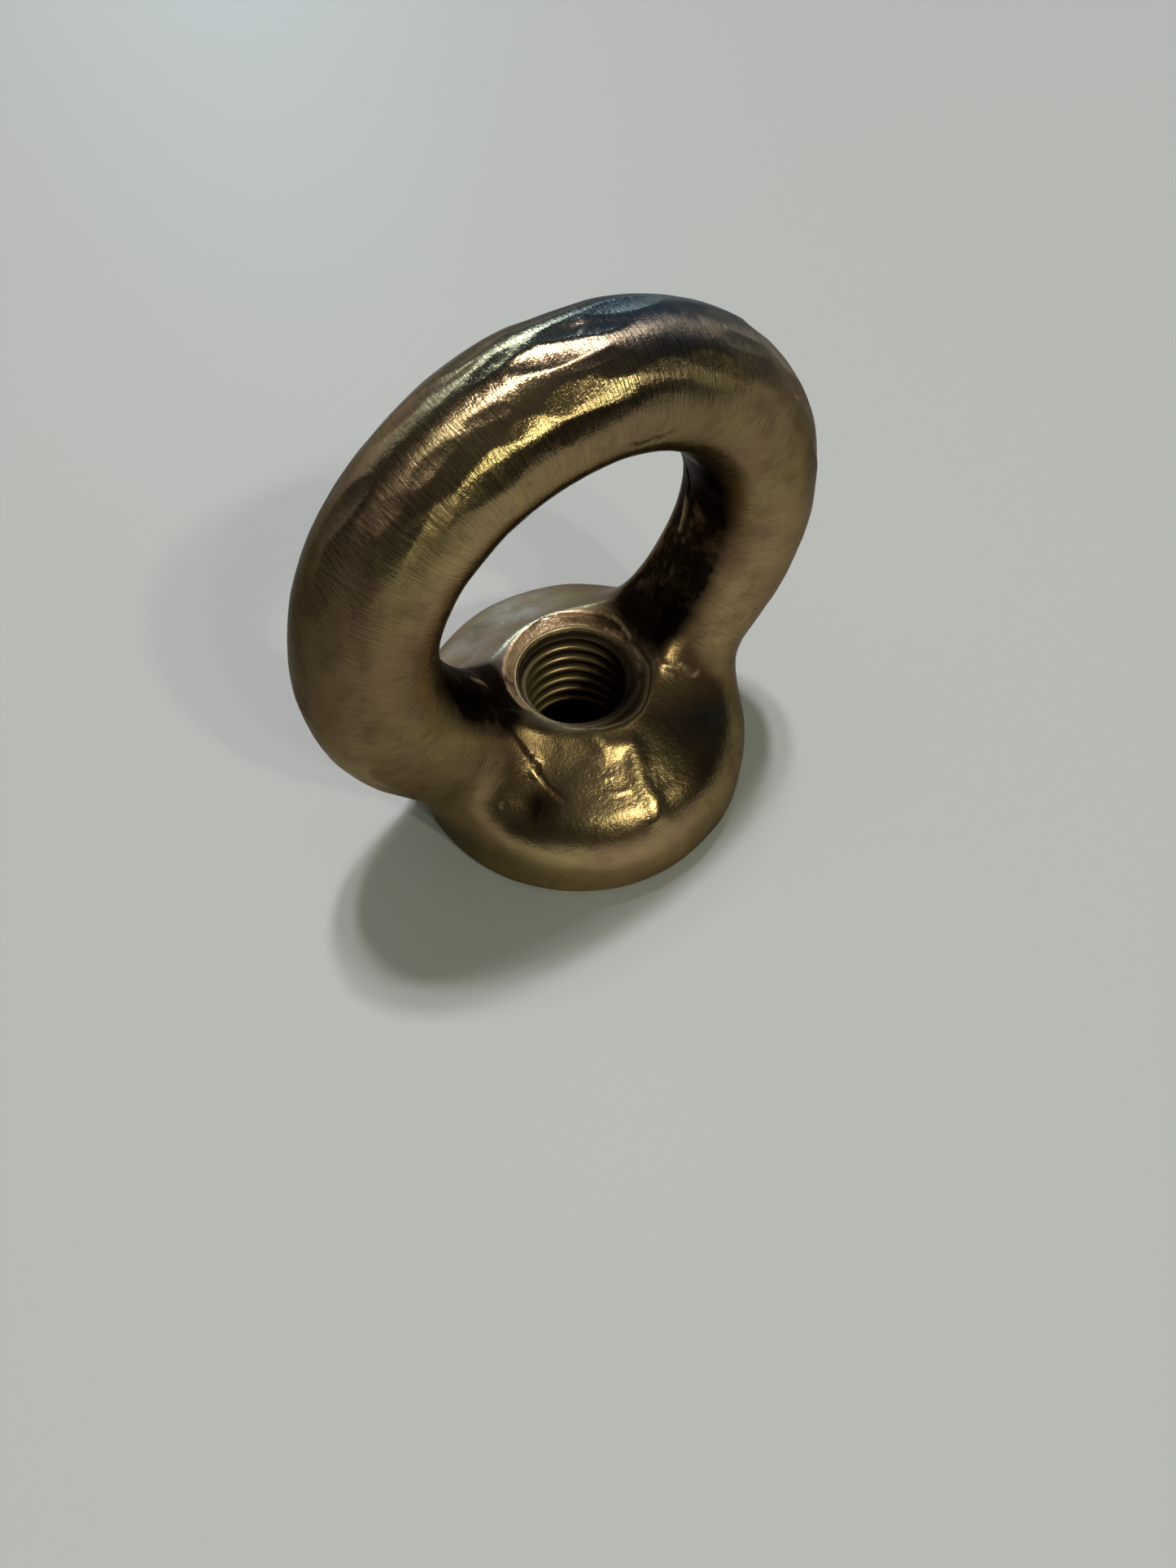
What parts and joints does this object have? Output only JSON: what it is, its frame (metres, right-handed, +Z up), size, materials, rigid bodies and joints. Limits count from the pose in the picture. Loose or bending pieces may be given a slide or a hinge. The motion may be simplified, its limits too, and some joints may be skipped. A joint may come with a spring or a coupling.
{
  "type": "lifting eye nut",
  "caption": "Cast bronze eye nut: a round-section ring standing on a domed round boss that is tapped right through, for a shackle or rope.",
  "frame": {"origin": "centre of the seat, where the thread's axis meets the boss's flat underside", "axes": "+Z up the thread's axis through the eye, +X across the eye in the ring's plane, +Y through the eye"},
  "size_m": [0.0524, 0.0354, 0.0525],
  "materials": {
    "bronze": "cast bronze, hand-ground and brushed on the ring, dull and toned brown"
  },
  "bodies": {
    "root": {"eye_nut": "bronze"}
  },
  "joints": []
}
